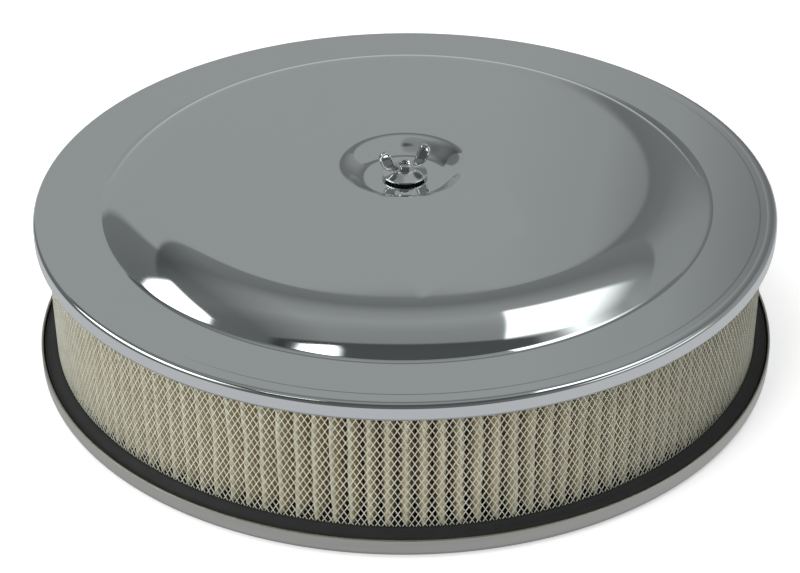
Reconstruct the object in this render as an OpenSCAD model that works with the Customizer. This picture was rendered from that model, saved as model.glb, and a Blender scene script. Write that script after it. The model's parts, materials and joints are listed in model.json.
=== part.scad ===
// Round air cleaner for a carburettor: chromed lid, pleated paper element, open-centre base pan,
// centre stud and wing nut. Everything is turned about the Z axis. Z = 0 is the underside of the
// base pan, and the origin is the middle of the carburettor opening there.

/* [Lid] */
// Outside radius of the lid's skirt
lid_r = 177.8; // [176:0.1:215]
// Height of the turned-down skirt
skirt_h = 8.4; // [6:0.1:14]
// Outside radius of the bend between flange and skirt
lid_edge_r = 2.4; // [1.5:0.1:4]
// Sheet thickness of the lid
lid_t = 1; // [0.7:0.1:1.2]
// Radius at which the raised middle starts
dome_foot_r = 147.5; // [120:0.5:150]
// Rise from the flat flange to the shoulder of the raised middle
dome_rise = 12.3; // [10.5:0.1:16]
// Slope of the slightly crowned top where it meets the shoulder, in degrees
crown_slope = 2.6; // [1:0.1:4]
// Steepest slope of the raised middle, in degrees
dome_slope = 36; // [30:1:36]
// Radius of the convex shoulder
shoulder_r = 50; // [30:1:50]
// Radius of the concave bend at the foot
foot_bend_r = 4; // [2:0.5:4]

/* [Centre dimple] */
// Radius of the dimple's rim
dimple_rim_r = 32.5; // [30:0.5:38]
// Radius of the dimple's flat floor
dimple_floor_r = 18.5; // [17:0.5:20]
// Depth of the dimple below the crown
dimple_depth = 6.5; // [5:0.5:8]

/* [Filter element] */
// Overall height of the element over both end seals
element_h = 76.2; // [60:0.1:95]
// Outside radius of the outer wire screen
screen_r = 172.3; // [158:0.1:172.5]
// Radial depth of the filter from outer screen to inner screen
filter_depth = 18.8; // [14:0.1:19]
// Thickness of both wire screens
screen_t = 0.5; // [0.3:0.1:0.8]
// Height of each moulded end seal
seal_h = 9.5; // [7:0.1:12]
// Outer shoulder drop of each end seal, down to its thin lip
seal_step = 2.4; // [1:0.1:4]
// Number of pleats
pleats = 136; // [90:1:150]
// Thickness of the pleated paper
paper_t = 0.7; // [0.5:0.1:0.9]
// Half width of a pleat's rounded tip
pleat_tip_w = 0.9; // [0.6:0.1:1.2]

/* [Base pan] */
// Outside radius of the base pan's rim
base_r = 180.2; // [179.6:0.1:220]
// Height of the up-turned rim
rim_h = 8.8; // [7:0.1:12]
// Sheet thickness of the base pan
base_t = 1; // [0.8:0.1:1.2]
// Height of the raised step that centres the element
step_h = 10; // [7:0.5:14]
// Radial width of the raised step's slope
step_w = 12; // [8:0.5:18]
// Inside radius of the neck that fits over the air horn
neck_r = 65.3; // [50:0.1:80]
// Height of the up-turned neck lip above the gasket seat
neck_h = 11; // [8:0.5:20]
// Radial width of the gasket seat round the neck
gasket_seat_w = 8; // [6:0.5:12]
// Thickness of the neck gasket
gasket_t = 2; // [1:0.1:3]

/* [Stud and wing nut] */
// Radius of the stud's plain shank
stud_r = 3.175; // [2.5:0.005:4]
// Radius of the stud's thread root, where the nut runs
thread_root_r = 2.5; // [2:0.01:2.5]
// Height of the stud's lower end above the base's underside
stud_bottom = 16; // [15:0.5:24]
// Length of stud thread inside the seated nut
stud_in_nut = 4.6; // [4.2:0.1:5.4]
// Thickness of the sealing washer under the nut
washer_t = 1.2; // [0.8:0.1:2]
// Radius of the sealing washer
washer_r = 9.2; // [7:0.1:10]
// Radius of the nut's conical flange
nut_flange_r = 10.9; // [9:0.1:13]
// Height of the nut's body without its wings
nut_body_h = 6; // [5.8:0.1:8]
// Radius of the nut's hub at its top
nut_hub_r = 3.9; // [3.6:0.1:4.5]
// Distance from wing tip to wing tip
wing_span = 26.8; // [25:0.1:30]
// Height of the wing tips above the hub
wing_h = 8.4; // [7:0.1:10]
// Thickness of a wing
wing_t = 2; // [1.6:0.1:2.4]
// Turn of the wings about the stud, in degrees
wing_angle = 22; // [0:1:180]

/* [Fits] */
// Radial gap between the element's seals and the metal round them
seal_gap = 0.6; // [0.4:0.1:1]
// Radial running clearance of the nut on the stud's thread
thread_gap = 0.08; // [0.05:0.01:0.1]
// Radial clearance of the washer on the stud's thread
washer_gap = 0.3; // [0.2:0.05:0.6]

/* [Hidden] */
// Facets of a turned part in a quick view
$fn = 96;
// Cuts run this far past the faces that they open
over = 1;

// The dome's side: a convex and a concave arc joined by a straight stretch
shoulder_drop = shoulder_r * (cos(crown_slope) - cos(dome_slope));
foot_drop = foot_bend_r * (1 - cos(dome_slope));
straight_l = (dome_rise - shoulder_drop - foot_drop) / sin(dome_slope);
shoulder_run = shoulder_r * (sin(dome_slope) - sin(crown_slope));
slope_run = shoulder_run + foot_bend_r * sin(dome_slope) + straight_l * cos(dome_slope);
shoulder_start_r = dome_foot_r - slope_run;
crown_h = shoulder_start_r * tan(crown_slope) / 2;

// Heights of the stack, from the base's floor up
floor_z = base_t;
element_top_z = floor_z + element_h;
flange_z = element_top_z + lid_t;
skirt_z = flange_z - skirt_h;
shoulder_z = flange_z + dome_rise;
crown_z = shoulder_z + crown_h;
dimple_z = crown_z - dimple_depth;
washer_z = dimple_z + washer_t;
stud_top_z = washer_z + stud_in_nut;

// Rings that draw the crowned top
crown_rings = 8;

// The skirt's lower edge turns in a little
hem_r = 1.6;
hem_angle = 50;
hem_turn = 0.6;

// Radii of the element
screen_in_r = screen_r - filter_depth;
media_gap = 0.3;
media_out_r = screen_r - screen_t - media_gap;
media_in_r = screen_in_r + screen_t + media_gap;
seal_inner_lip = 1.6;
seal_edge = 1;
seal_lip_t = 0.6;
seal_in_r = screen_in_r - seal_inner_lip;
base_in_r = base_r - base_t;
lower_seal_r = base_in_r - seal_gap;
upper_seal_r = lid_r - lid_t - hem_turn - seal_gap;
media_low_z = floor_z + seal_h;
media_high_z = element_top_z - seal_h;

// Folded paper: half width of the inner fold, and the two flaps where its ends meet
pleat_in_w = 0.4;
flap_x = paper_t + 0.15;
flap_l = 9;
flap_foot = 1;
fold_r = media_in_r + paper_t;

// Seam clip
clip_t = 0.5;
clip_l = 6;

// Base pan
rim_bend_r = 1.8;
well_bend_r = 3;
neck_bend_r = 1.2;
step_out_r = seal_in_r - seal_gap;
seat_out_r = neck_r + base_t + gasket_seat_w;
seat_z = gasket_t + base_t;
gasket_lip = 0.4;

// The seals' outer corners clear the bends of the metal that they lie in
seal_chamfer = max(rim_bend_r, lid_edge_r - lid_t);

// Stud and grommet
stud_thread_l = 19;
stud_thread_r = stud_r - 0.04;
stud_chamfer = 0.8;
shank_drop = 0.3;
grommet_r = stud_r + 2;
grommet_flange_r = stud_r + 4.2;
grommet_flange_t = 1.4;
grommet_nose = 2.2;
grommet_nose_t = 0.8;

// Wing nut
flange_edge_t = 0.8;
cone_h = 2.2;
hub_foot_r = nut_hub_r + 0.9;
hub_chamfer = 0.5;
wing_recess = 0.5;
wing_recess_scale = 0.62;
// Middle of a wing's face, from the stud's axis and from the nut's underside
wing_mid = [9, nut_body_h + 3.4];
// Rounded corners of a wing's tip, outer and inner
wing_corner_r = [2.6, 1.4];

// ---------- outline helpers ----------

function unit(v) = v / norm(v);
function normal(v) = [-v[1], v[0]];

// Points on an arc round c, from angle a0 to a1
function arc(c, r, a0, a1, n = 6) =
  [for (i = [0:n]) let (a = a0 + (a1 - a0) * i / n) c + r * [cos(a), sin(a)]];

// Point i of path p, moved to its left by t and mitred between its neighbours
function shifted(p, i, t) =
  let (
    last = len(p) - 1,
    before = unit(i == 0 ? p[1] - p[0] : p[i] - p[i - 1]),
    after = unit(i == last ? p[last] - p[last - 1] : p[i + 1] - p[i]),
    side = unit(normal(before) + normal(after))
  )
  p[i] + side * t / (side * normal(before));

// Closed outline of a sheet of thickness t on the left of path p
function sheet(p, t) = concat(p, [for (i = [len(p) - 1:-1:0]) shifted(p, i, t)]);

// Soft S-curve from a to b, level at both ends
function s_curve(a, b, n = 12) =
  [for (i = [0:n]) [a[0] + (b[0] - a[0]) * i / n, a[1] + (b[1] - a[1]) * (1 - cos(180 * i / n)) / 2]];

// Half section of a ring between two radii and two heights
function band(r0, r1, z0, z1) = [[r0, z0], [r1, z0], [r1, z1], [r0, z1]];

// Solid of revolution from its half section
module turned(outline) {
  rotate_extrude($fn = 180) polygon(outline);
}

// ---------- base ----------

// Upper surface of the pan, from the rim's top in to the neck lip's top
function pan_path() = concat(
  [[base_in_r, rim_h]],
  arc([base_in_r - rim_bend_r, floor_z + rim_bend_r], rim_bend_r, 0, -90),
  s_curve([step_out_r, floor_z], [step_out_r - step_w, step_h]),
  arc([seat_out_r + well_bend_r, step_h - well_bend_r], well_bend_r, 90, 180),
  arc([seat_out_r - well_bend_r, seat_z + well_bend_r], well_bend_r, 0, -90),
  arc([neck_r + base_t + neck_bend_r, seat_z + neck_bend_r], neck_bend_r, -90, -180, 4),
  [[neck_r + base_t, seat_z + neck_h]]
);

module base_pan() {
  color([0.66, 0.65, 0.62])
  turned(sheet(pan_path(), base_t));
}

// Flat ring between the pan's gasket seat and the carburettor's shelf
module neck_gasket() {
  color([0.1, 0.1, 0.1])
  turned(band(neck_r + gasket_lip, neck_r + base_t + gasket_seat_w - well_bend_r, 0, gasket_t));
}

// ---------- filter element ----------

// Half section of an end seal: thick over the pleats, lower at its outer lip
function seal_outline(out_r) = concat(
  [[seal_in_r, 0], [out_r - seal_chamfer, 0], [out_r, seal_chamfer]],
  [[out_r, seal_h - seal_step]],
  s_curve([out_r - seal_lip_t, seal_h - seal_step + seal_lip_t], [screen_r + seal_lip_t, seal_h], 6),
  [[seal_in_r + seal_edge, seal_h], [seal_in_r, seal_h - seal_edge]]
);

module lower_end_seal() {
  color([0.14, 0.14, 0.14])
  translate([0, 0, floor_z]) turned(seal_outline(lower_seal_r));
}

module upper_end_seal() {
  color([0.14, 0.14, 0.14])
  translate([0, 0, element_top_z]) mirror([0, 0, 1]) turned(seal_outline(upper_seal_r));
}

// Folded paper: flat-tipped pleats all the way round, with two flaps where its ends meet
function tip(r, a, w) = [r * cos(a) - w * sin(a), r * sin(a) + w * cos(a)];
function outer_tip(k) = [for (w = [-1, 1]) tip(media_out_r, 90 + 360 * k / pleats, w * pleat_tip_w)];
function inner_tip(k) = [for (w = [-1, 1]) tip(fold_r, 90 + 360 * (k + 0.5) / pleats, w * pleat_in_w)];
function pleat(k) = k < pleats - 1 ? concat(outer_tip(k), inner_tip(k)) : outer_tip(k);
function media_path() = concat(
  [[-flap_x, fold_r + flap_l], [-flap_x, fold_r], [-flap_x - flap_foot, fold_r]],
  [for (k = [1:pleats - 1], p = pleat(k)) p],
  [[flap_x + flap_foot, fold_r], [flap_x, fold_r], [flap_x, fold_r + flap_l]]
);

module pleated_media() {
  color([0.85, 0.81, 0.68])
  translate([0, 0, media_low_z])
  linear_extrude(media_high_z - media_low_z)
  polygon(sheet(media_path(), paper_t));
}

// Folded steel channel pinched over the paper's two end flaps
module media_seam_clip() {
  color([0.75, 0.75, 0.76])
  translate([0, fold_r + flap_l - clip_l, media_low_z])
  linear_extrude(media_high_z - media_low_z)
  difference() {
    translate([-flap_x - clip_t, 0]) square([2 * (flap_x + clip_t), clip_l + clip_t]);
    translate([-flap_x, -over]) square([2 * flap_x, clip_l + over]);
  }
}

module outer_screen() {
  color([0.78, 0.78, 0.76])
  turned(band(screen_r - screen_t, screen_r, media_low_z, media_high_z));
}

module inner_screen() {
  color([0.78, 0.78, 0.76])
  turned(band(screen_in_r, screen_in_r + screen_t, media_low_z, media_high_z));
}

// ---------- lid ----------

// Height of the crowned top at radius r, a shallow paraboloid that ends at the shoulder
function crown_at(r) = shoulder_z + crown_h * (1 - pow(r / shoulder_start_r, 2));

// Outer surface of the lid, from the skirt's hem up and in to the stud hole
function lid_path() = concat(
  arc([lid_r - hem_r, skirt_z + hem_r], hem_r, -hem_angle, 0, 4),
  arc([lid_r - lid_edge_r, flange_z - lid_edge_r], lid_edge_r, 0, 90),
  arc([dome_foot_r, flange_z + foot_bend_r], foot_bend_r, -90, -90 - dome_slope, 6),
  arc([shoulder_start_r, shoulder_z] - shoulder_r * [sin(crown_slope), cos(crown_slope)], shoulder_r,
      90 - dome_slope, 90 - crown_slope, 12),
  [for (i = [1:crown_rings - 1])
     let (r = shoulder_start_r + (dimple_rim_r - shoulder_start_r) * i / crown_rings) [r, crown_at(r)]],
  s_curve([dimple_rim_r, crown_at(dimple_rim_r)], [dimple_floor_r, dimple_z]),
  [[grommet_r, dimple_z]]
);

module lid() {
  color([0.78, 0.79, 0.8])
  turned(sheet(lid_path(), lid_t));
}

// Rubber ring that seals the stud hole and grips the stud
module stud_grommet() {
  color([0.08, 0.08, 0.08])
  turned([
    [stud_r, dimple_z], [grommet_r, dimple_z], [grommet_r, dimple_z - lid_t],
    [grommet_flange_r, dimple_z - lid_t], [grommet_flange_r, dimple_z - lid_t - grommet_flange_t],
    [grommet_r, dimple_z - lid_t - grommet_flange_t],
    [stud_r + grommet_nose_t, dimple_z - lid_t - grommet_flange_t - grommet_nose],
    [stud_r, dimple_z - lid_t - grommet_flange_t - grommet_nose]
  ]);
}

// Threaded at both ends: the lower thread as its outside size, the upper one as its root
module centre_stud() {
  color([0.72, 0.72, 0.72])
  turned([
    [0, stud_bottom], [stud_thread_r - stud_chamfer, stud_bottom],
    [stud_thread_r, stud_bottom + stud_chamfer], [stud_thread_r, stud_bottom + stud_thread_l],
    [stud_r, stud_bottom + stud_thread_l + stud_chamfer], [stud_r, dimple_z - shank_drop],
    [thread_root_r, dimple_z - shank_drop], [thread_root_r, stud_top_z - stud_chamfer],
    [thread_root_r - stud_chamfer, stud_top_z], [0, stud_top_z]
  ]);
}

// ---------- fastening ----------

module sealing_washer() {
  color([0.1, 0.1, 0.1])
  turned(band(thread_root_r + washer_gap, washer_r, dimple_z, washer_z));
}

// One wing in its own plane, from the hub out to its two rounded corners, scaled about its middle
function wing_outline(scale) =
  let (top = nut_body_h + wing_h, tip_r = wing_span / 2, outer = wing_corner_r[0], inner = wing_corner_r[1])
  [for (p = concat(
    [[hub_foot_r - 1.2, cone_h], [hub_foot_r + 1.6, cone_h + 0.8], [tip_r - 1.6, top - 7]],
    arc([tip_r - outer, top - outer - 0.8], outer, -20, 70, 5),
    arc([tip_r - 3 * inner, top - inner], inner, 90, 150, 3),
    [[hub_foot_r - 0.2, nut_body_h - 0.6], [hub_foot_r - 1.2, nut_body_h - 1]]
  )) wing_mid + scale * (p - wing_mid)];

module wing() {
  difference() {
    rotate([90, 0, 0]) translate([0, 0, -wing_t / 2]) linear_extrude(wing_t) polygon(wing_outline(1));
    for (s = [-1, 1])
      translate([0, s * (wing_t / 2 - wing_recess) + (s < 0 ? 0 : over), 0])
      rotate([90, 0, 0]) linear_extrude(over) polygon(wing_outline(wing_recess_scale));
  }
}

module wing_nut() {
  color([0.8, 0.8, 0.82])
  translate([0, 0, washer_z])
  difference() {
    union() {
      turned([
        [0, 0], [nut_flange_r, 0], [nut_flange_r, flange_edge_t], [hub_foot_r, cone_h],
        [nut_hub_r, nut_body_h - hub_chamfer], [nut_hub_r - hub_chamfer, nut_body_h], [0, nut_body_h]
      ]);
      for (a = [0, 180]) rotate([0, 0, wing_angle + a]) wing();
    }
    translate([0, 0, -over]) cylinder(r = thread_root_r + thread_gap, h = nut_body_h + 2 * over);
  }
}

base_pan();
neck_gasket();
lower_end_seal();
upper_end_seal();
pleated_media();
media_seam_clip();
outer_screen();
inner_screen();
lid();
stud_grommet();
centre_stud();
sealing_washer();
wing_nut();
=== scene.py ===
# %% [markdown]
# # A round air cleaner with a chromed lid
# The real thing is five bodies on one upright axis: a base pan, a filter element, a lid with its
# stud, a rubber washer and a wing nut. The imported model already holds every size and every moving
# body, so this lesson only makes surfaces: each piece is built in metres, straight in the model's
# frame, and rides on the body that carries it.

# %% Load the frame
import json
import math

import bmesh
import bpy
from mathutils import Matrix, Vector

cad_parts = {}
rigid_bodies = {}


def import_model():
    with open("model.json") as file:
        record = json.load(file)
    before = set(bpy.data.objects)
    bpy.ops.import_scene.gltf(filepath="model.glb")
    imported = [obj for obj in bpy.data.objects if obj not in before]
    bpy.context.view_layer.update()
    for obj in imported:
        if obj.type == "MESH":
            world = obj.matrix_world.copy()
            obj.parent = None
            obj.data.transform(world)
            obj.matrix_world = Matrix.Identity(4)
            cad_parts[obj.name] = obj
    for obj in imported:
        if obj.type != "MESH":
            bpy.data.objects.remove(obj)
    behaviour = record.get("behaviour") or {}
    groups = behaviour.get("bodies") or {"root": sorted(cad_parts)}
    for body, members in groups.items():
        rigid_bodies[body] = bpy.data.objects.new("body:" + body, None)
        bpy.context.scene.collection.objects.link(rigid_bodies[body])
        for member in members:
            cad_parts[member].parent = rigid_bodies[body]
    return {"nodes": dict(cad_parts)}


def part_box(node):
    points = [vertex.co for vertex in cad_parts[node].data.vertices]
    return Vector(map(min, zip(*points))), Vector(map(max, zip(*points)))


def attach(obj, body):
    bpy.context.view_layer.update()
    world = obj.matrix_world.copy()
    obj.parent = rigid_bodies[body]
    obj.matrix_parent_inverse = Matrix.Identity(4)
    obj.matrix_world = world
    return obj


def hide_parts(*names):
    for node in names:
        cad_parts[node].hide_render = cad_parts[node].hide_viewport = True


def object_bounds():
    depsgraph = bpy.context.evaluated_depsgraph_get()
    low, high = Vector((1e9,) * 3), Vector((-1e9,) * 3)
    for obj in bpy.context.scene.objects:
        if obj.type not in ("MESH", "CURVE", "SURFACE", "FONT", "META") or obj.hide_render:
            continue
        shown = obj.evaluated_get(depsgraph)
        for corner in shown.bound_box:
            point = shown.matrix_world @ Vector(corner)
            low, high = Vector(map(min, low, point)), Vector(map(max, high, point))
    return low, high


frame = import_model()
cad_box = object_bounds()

print("box of the packed model:", [[round(v, 4) for v in corner] for corner in cad_box])

# %% [markdown]
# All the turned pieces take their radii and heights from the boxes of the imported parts. A small
# helper reads them once, so that no size is typed twice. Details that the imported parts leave
# out, such as a bead or a thread, are given below in millimetres, where they are first used.

# %% Sizes read from the frame
MM = 0.001


def reach(node):
    """Outside radius of a turned part, in metres."""
    low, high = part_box(node)
    return max(high[0], high[1], -low[0], -low[1])


def foot(node):
    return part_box(node)[0][2]


def top(node):
    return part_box(node)[1][2]


lid_r = reach("lid")
base_r = reach("base_pan")
screen_r = reach("outer_screen")
inner_screen_r = reach("inner_screen")
for label, radius in (("lid", lid_r), ("base", base_r), ("screen", screen_r)):
    print(label, round(radius / MM, 1), "mm")

# %% [markdown]
# ## Camera
# A long lens from about a metre away, looking down by a third of a right angle, shows the whole
# lid and still leaves the filter's side readable. The small roll is the tripod's.

# %% Camera
CAMERA_BACK = 0.882
CAMERA_HEIGHT = 0.5822
CAMERA_PITCH = 32.34
CAMERA_YAW = -0.17
CAMERA_ROLL = -0.39
CAMERA_LENS = 94.7

camera_data = bpy.data.cameras.new("camera")
camera_data.lens = CAMERA_LENS
camera_data.sensor_width = 36
camera_data.clip_start = 0.05
camera = bpy.data.objects.new("camera", camera_data)
bpy.context.scene.collection.objects.link(camera)
aim = (
    Matrix.Rotation(math.radians(-CAMERA_YAW), 4, "Z")
    @ Matrix.Rotation(math.radians(90 - CAMERA_PITCH), 4, "X")
    @ Matrix.Rotation(math.radians(CAMERA_ROLL), 4, "Z")
)
camera.matrix_world = Matrix.Translation((0, -CAMERA_BACK, CAMERA_HEIGHT)) @ aim
bpy.context.scene.camera = camera
print("camera", round(camera.location.length, 3), "m from the origin")

# %% [markdown]
# ## Floor and light
# Polished chrome shows its surroundings more than itself, so the room matters as much as the
# shader. It is a plain one: a pale floor, an even grey screen ahead, a darker wall behind the
# camera, and white softboxes whose reflections draw the lid's raised middle.
# The room's grey is in the world's shader, which depends only on the direction looked in.

# %% Node helper
def node(tree, kind, inputs=None, **settings):
    """Adds one shader or geometry node, with its settings and the values of its sockets."""
    made = tree.nodes.new(kind)
    for name, value in settings.items():
        setattr(made, name, value)
    for key, value in (inputs or {}).items():
        socket = made.inputs[key]
        if isinstance(value, bpy.types.NodeSocket):
            tree.links.new(value, socket)
        else:
            socket.default_value = value
    return made


def maths(tree, operation, a, b=0.0, clamp=False):
    """One Math node; returns its output socket."""
    return node(tree, "ShaderNodeMath", {0: a, 1: b}, operation=operation, use_clamp=clamp).outputs[0]


def ramp(tree, value, stops):
    """A colour ramp from (position, colour) pairs; returns its colour socket."""
    made = node(tree, "ShaderNodeValToRGB", {"Fac": value})
    elements = made.color_ramp.elements
    while len(elements) < len(stops):
        elements.new(0.5)
    for element, (position, colour) in zip(elements, stops):
        element.position = position
        element.color = (*colour, 1)
    return made.outputs["Color"]


def mix(tree, amount, a, b, blend="MIX"):
    """Blend of two colours by a mask."""
    made = node(tree, "ShaderNodeMix", data_type="RGBA", blend_type=blend)
    for socket, value in ((made.inputs["Factor"], amount), (made.inputs[6], a), (made.inputs[7], b)):
        if isinstance(value, bpy.types.NodeSocket):
            tree.links.new(value, socket)
        else:
            socket.default_value = value if isinstance(value, float) else (*value, 1)
    return made.outputs[2]


print("node helpers ready")

# %% World
# Brightness of the walls by azimuth (0 is straight ahead), and of the ceiling by its swing from
# the far horizon over the zenith; both in degrees
WALL = 0.345
WALL_LEVELS = (
    (-180, 0.12), (-70, 0.13), (-38.5, 0.175), (-37.5, 0.34), (4, WALL), (8.5, 0.31), (10.5, 0.24),
    (13, 0.16), (24, 0.18), (40, 0.27), (75, 0.30), (110, 0.2), (180, 0.12))
CEILING_LEVELS = (
    (36, 0.20), (50, 0.17), (60, 0.27), (72, 0.33), (84, 0.27), (97, 0.25), (98.5, 0.075),
    (110, 0.085), (150, 0.10), (180, 0.12))
# Heights of the direction looked in (1 is straight up) between which one part gives way to another
CEILING_EDGE = (0.606, 0.618)
GROUND_EDGE = (-0.02, -0.12)
STEEP_EDGE = (-0.58, -0.76)
GROUND = (0.53, 0.54, 0.56)
STEEP_GROUND = (0.31, 0.312, 0.345)


def grey(level):
    """A slightly cool grey, as the room's walls have."""
    return (level * 0.965, level * 1.01, level * 1.01)


def build_world():
    """A grey screen behind the object, a dim room round it and a paler ceiling."""
    world = bpy.data.worlds.new("studio")
    bpy.context.scene.world = world
    world.use_nodes = True
    tree = world.node_tree
    tree.nodes.clear()
    direction = node(tree, "ShaderNodeTexCoord").outputs["Generated"]
    parts = node(tree, "ShaderNodeSeparateXYZ", {0: direction}).outputs
    # Azimuth as 0 to 1, with the far side in the middle; 1 degree is 1/360
    azimuth = maths(tree, "DIVIDE", maths(tree, "ARCTAN2", parts["X"], parts["Y"]), 2 * math.pi)
    azimuth = maths(tree, "ADD", azimuth, 0.5)
    walls = ramp(tree, azimuth, [(at / 360 + 0.5, grey(level)) for at, level in WALL_LEVELS])
    # Swing as 0 to 1, from the far horizon to the near one
    swing = maths(tree, "DIVIDE", maths(tree, "ARCTAN2", parts["Z"], parts["Y"]), math.pi)
    ceiling = ramp(tree, swing, [(at / 180, grey(level)) for at, level in CEILING_LEVELS])
    # The ceiling is half as bright at the far left
    side = ramp(tree, maths(tree, "ADD", parts["X"], 0.5),
                [(0.0, (0.5,) * 3), (0.25, (1,) * 3), (1.0, (1,) * 3)])
    ceiling = mix(tree, 1.0, ceiling, side, "MULTIPLY")

    def past(edge):
        made = node(tree, "ShaderNodeMapRange", {"Value": parts["Z"], "From Min": edge[0], "From Max": edge[1]})
        return made.outputs["Result"]

    # The ceiling starts at 38 degrees up, and the ground is what a vertical wall mirrors
    sky = mix(tree, past(CEILING_EDGE), walls, ceiling)
    ground = mix(tree, past(STEEP_EDGE), GROUND, STEEP_GROUND)
    sky = mix(tree, past(GROUND_EDGE), sky, ground)
    background = node(tree, "ShaderNodeBackground", {"Color": sky, "Strength": 1.0})
    output = node(tree, "ShaderNodeOutputWorld")
    tree.links.new(background.outputs[0], output.inputs["Surface"])


build_world()
print("world built")

# %% Floor
FLOOR_SIZE = 8.0
FLOOR_COLOUR = (0.86, 0.86, 0.855, 1)
FLOOR_GLOW = 0.38
FLOOR_GAP = 0.0004


def card(name, width, height, matrix):
    """A flat rectangle, used for the floor and the softboxes' faces."""
    mesh = bpy.data.meshes.new(name)
    w, h = width / 2, height / 2
    mesh.from_pydata([(-w, -h, 0), (w, -h, 0), (w, h, 0), (-w, h, 0)], [], [(0, 1, 2, 3)])
    obj = bpy.data.objects.new(name, mesh)
    obj.matrix_world = matrix
    bpy.context.scene.collection.objects.link(obj)
    return obj


def floor_material():
    material = bpy.data.materials.new("floor_paper")
    material.use_nodes = True
    shader = material.node_tree.nodes["Principled BSDF"]
    shader.inputs["Base Color"].default_value = FLOOR_COLOUR
    shader.inputs["Roughness"].default_value = 0.85
    shader.inputs["Specular IOR Level"].default_value = 0.2
    shader.inputs["Emission Color"].default_value = (1, 1, 1, 1)
    shader.inputs["Emission Strength"].default_value = FLOOR_GLOW
    return material


floor = card("floor", FLOOR_SIZE, FLOOR_SIZE, Matrix.Translation((0, 0, cad_box[0][2] - FLOOR_GAP)))
floor.data.materials.append(floor_material())
floor.visible_glossy = False
print("floor at", round(cad_box[0][2], 4), "m")

# %% Lights
def glow_material(name, glow, size, soft):
    """Light that thins out towards the card's edges; soft is a share of its size for each of its four sides."""
    material = bpy.data.materials.new(name)
    material.use_nodes = True
    tree = material.node_tree
    tree.nodes.clear()
    place = node(tree, "ShaderNodeTexCoord").outputs["Object"]
    axes = node(tree, "ShaderNodeSeparateXYZ", {0: place}).outputs
    cover = 1.0
    for axis, side, share in zip("XXYY", (-1, 1, -1, 1), soft):
        edge = side * size["XY".index(axis)] / 2
        rise = node(tree, "ShaderNodeMapRange", {"Value": axes[axis], "From Min": edge,
                    "From Max": edge * (1 - 2 * share)}, interpolation_type="SMOOTHSTEP")
        cover = maths(tree, "MULTIPLY", rise.outputs["Result"], cover)
    shine = node(tree, "ShaderNodeEmission", {"Color": (*grey(1.0), 1), "Strength": glow})
    clear = node(tree, "ShaderNodeBsdfTransparent")
    both = node(tree, "ShaderNodeMixShader", {0: cover, 1: clear.outputs[0], 2: shine.outputs[0]})
    tree.links.new(both.outputs[0], node(tree, "ShaderNodeOutputMaterial").inputs["Surface"])
    return material


def softbox(name, size, place, glow, soft):
    """A glowing card that the camera itself doesn't see."""
    obj = card(name, *size, place)
    obj.data.materials.append(glow_material(name, glow, size, soft))
    obj.visible_camera = False


def facing(azimuth, elevation, distance, target):
    """Matrix of something that faces the target from that direction; azimuth 0 is straight ahead."""
    a, e = math.radians(azimuth), math.radians(elevation)
    way = Vector((math.sin(a) * math.cos(e), math.cos(a) * math.cos(e), math.sin(e)))
    turn = way.to_track_quat("Z", "Y").to_matrix().to_4x4()
    return Matrix.Translation(Vector(target) + way * distance) @ turn


def area_light(name, azimuth, elevation, distance, size, power):
    """A soft square lamp that polished surfaces don't show."""
    lamp = bpy.data.lights.new(name, "AREA")
    lamp.size = size
    lamp.energy = power
    obj = bpy.data.objects.new(name, lamp)
    obj.matrix_world = facing(azimuth, elevation, distance, (0, 0, 0.08))
    obj.visible_glossy = False
    bpy.context.scene.collection.objects.link(obj)


LID_Z = top("lid")
GLOW = 2.6
RIM_GLOW = 1.1
left_place = facing(-98, 39, 1.6, (-0.10, -0.09, LID_Z))
right_place = Matrix.Translation((0.93, 0.19, LID_Z + 1.3)) @ Matrix.Rotation(math.radians(15), 4, "Z")
high_place = Matrix.Translation((-0.64, -0.50, LID_Z + 1.5))
softbox("softbox_left", (1.9, 0.66), left_place, GLOW, (0.06, 0.45, 0.12, 0.08))
softbox("softbox_right", (1.05, 0.84), right_place, GLOW * 0.75, (0.03, 0.75, 0.12, 0.12))
softbox("softbox_high", (0.52, 0.16), high_place, GLOW, (0.3, 0.2, 0.2, 0.2))
# The flag is as grey as the screen ahead, and keeps the right softbox out of the dimple
softbox("flag", (0.085, 0.075), facing(80, 53.6, 0.07, (-0.013, 0.02, LID_Z)), WALL, (0.1,) * 4)
softbox("softbox_rim", (1.7, 0.6), facing(105, 27, 1.7, (0.13, -0.12, LID_Z)), RIM_GLOW, (0.2,) * 4)
area_light("overhead", 0, 88, 1.8, 1.6, 24)
area_light("front_fill", -138, 22, 2.0, 1.2, 27)
print("four softboxes, a flag and two soft lamps")

# %% View
scene = bpy.context.scene
scene.view_settings.view_transform = "Standard"
scene.view_settings.look = "None"
scene.view_settings.exposure = 0.0
print("plain view transform")

# %% [markdown]
# ## Surface effects that several finishes share
# Three effects turn up on more than one material: streaks left by turning and rolling, a film of
# dust and finger marks, and the fine bumps of moulded or plated surfaces. Each is a node group
# with named inputs, built once and placed with its own values in each material. The groups read
# Object coordinates, so the marks stay put when a piece moves.

# %% Node group helper
def group(name, inputs, outputs):
    """An empty shader group with float inputs (name, default) and outputs (name, kind)."""
    tree = bpy.data.node_groups.new(name, "ShaderNodeTree")
    for label, default in inputs:
        socket = tree.interface.new_socket(label, in_out="INPUT", socket_type="NodeSocketFloat")
        socket.default_value = default
    for label, kind in outputs:
        tree.interface.new_socket(label, in_out="OUTPUT", socket_type=kind)
    return tree, tree.nodes.new("NodeGroupInput").outputs, tree.nodes.new("NodeGroupOutput").inputs


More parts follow.
